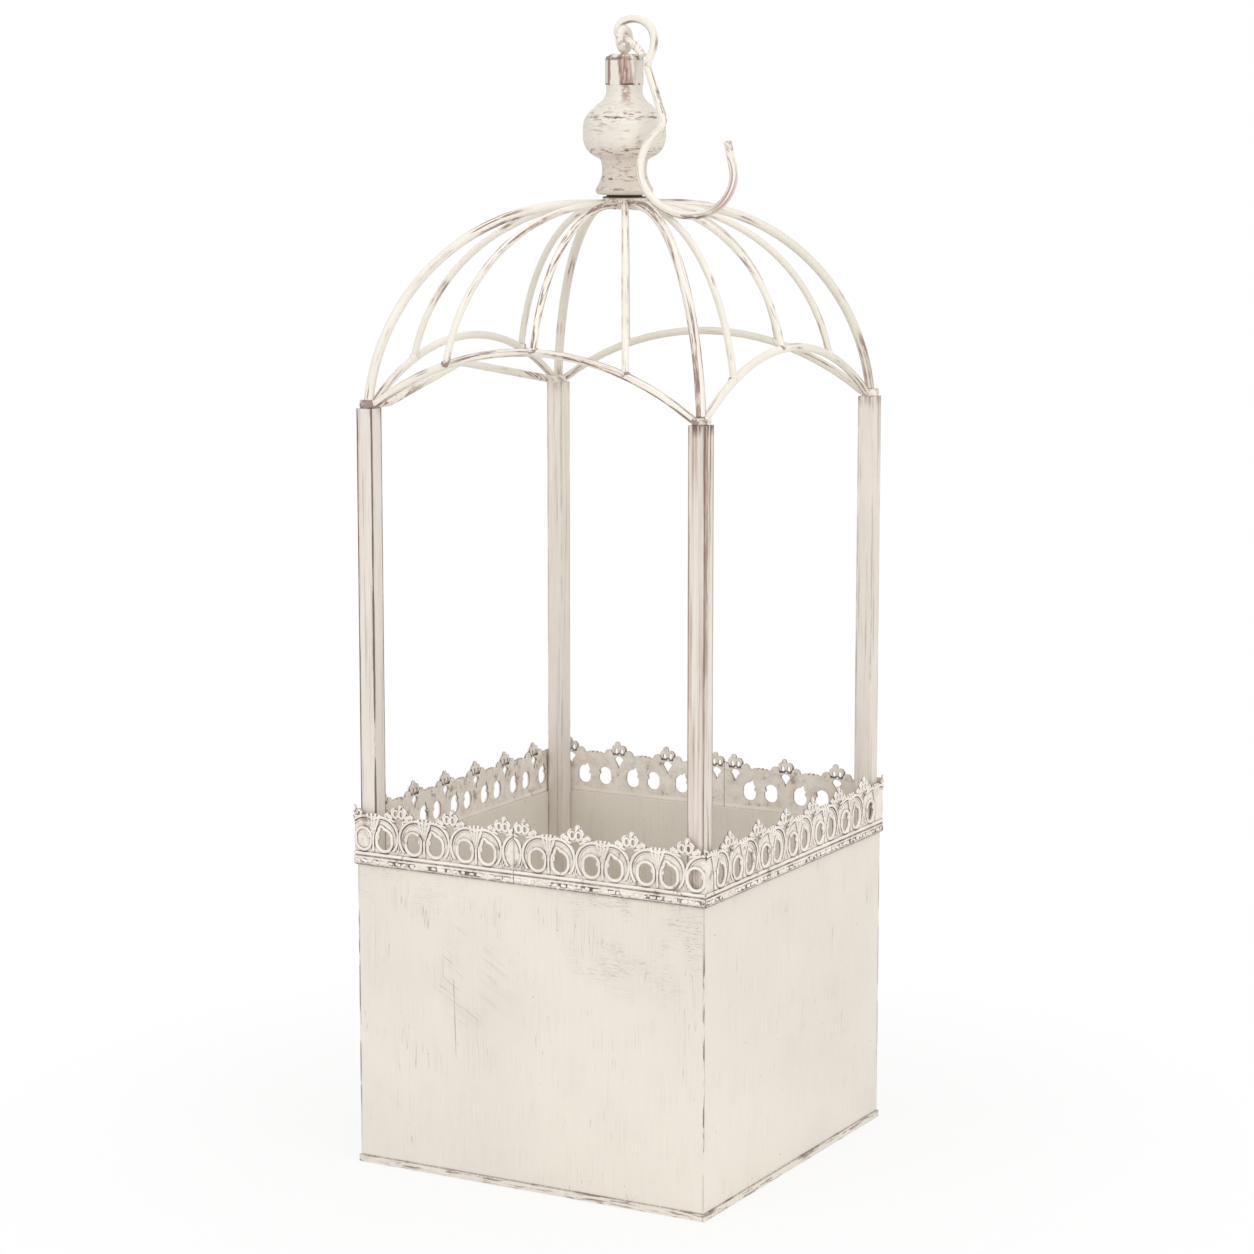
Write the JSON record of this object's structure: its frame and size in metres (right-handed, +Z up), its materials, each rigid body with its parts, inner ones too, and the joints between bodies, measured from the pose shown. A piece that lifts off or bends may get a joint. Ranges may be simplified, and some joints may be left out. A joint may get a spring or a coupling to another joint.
{
  "type": "hanging planter basket",
  "caption": "Square sheet-metal planter box with a pierced gallery rim, corner posts, wire arches and a ribbed wire dome, topped by a turned finial, a ring and a swinging hook",
  "frame": {"origin": "middle of the flat bottom, on the surface that the box stands on", "axes": "+Z up through the finial; -Y is the front face, the broad one in the picture; +X to the right seen from the front"},
  "size_m": [0.2038, 0.2038, 0.5848],
  "materials": {
    "box_paint": "matt cream paint, brushed and rubbed through at the edges",
    "gallery_paint": "matt cream paint with brown left in the recesses",
    "post_paint": "matt cream paint, streaky wear along the edges",
    "wire_paint": "matt cream paint, rubbed through to purplish brown",
    "painted_wood": "cream paint with fine brown scratches",
    "nut_steel": "plain, hidden under the hub"
  },
  "bodies": {
    "frame": {"base_pan": "box_paint", "front_panel": "box_paint", "right_panel": "box_paint", "back_panel": "box_paint", "left_panel": "box_paint", "gallery_right": "gallery_paint", "gallery_left": "gallery_paint", "post_front_right": "post_paint", "post_back_right": "post_paint", "post_back_left": "post_paint", "post_front_left": "post_paint", "arch_front": "wire_paint", "arch_right": "wire_paint", "arch_back": "wire_paint", "arch_left": "wire_paint", "brace_left": "wire_paint", "rib_corner_front_right": "wire_paint", "rib_corner_back_right": "wire_paint", "rib_corner_back_left": "wire_paint", "rib_corner_front_left": "wire_paint", "rib_front_1": "wire_paint", "rib_front_2": "wire_paint", "rib_front_3": "wire_paint", "rib_right_1": "wire_paint", "rib_right_2": "wire_paint", "rib_right_3": "wire_paint", "rib_back_1": "wire_paint", "rib_back_2": "wire_paint", "rib_left_1": "wire_paint", "rib_left_2": "wire_paint", "hub": "wire_paint", "hub_nut": "nut_steel", "finial": "painted_wood", "finial_cap": "painted_wood", "eye_bolt": "wire_paint"},
    "hook": {"hook": "wire_paint"}
  },
  "joints": [
    {"name": "hook_swing", "type": "hinge", "parent": "frame", "child": "hook", "pos_m": [0, 0.00083, 0.57783], "axis": [0, -0.9877, 0.1564], "range_deg": [0, 180]}
  ]
}
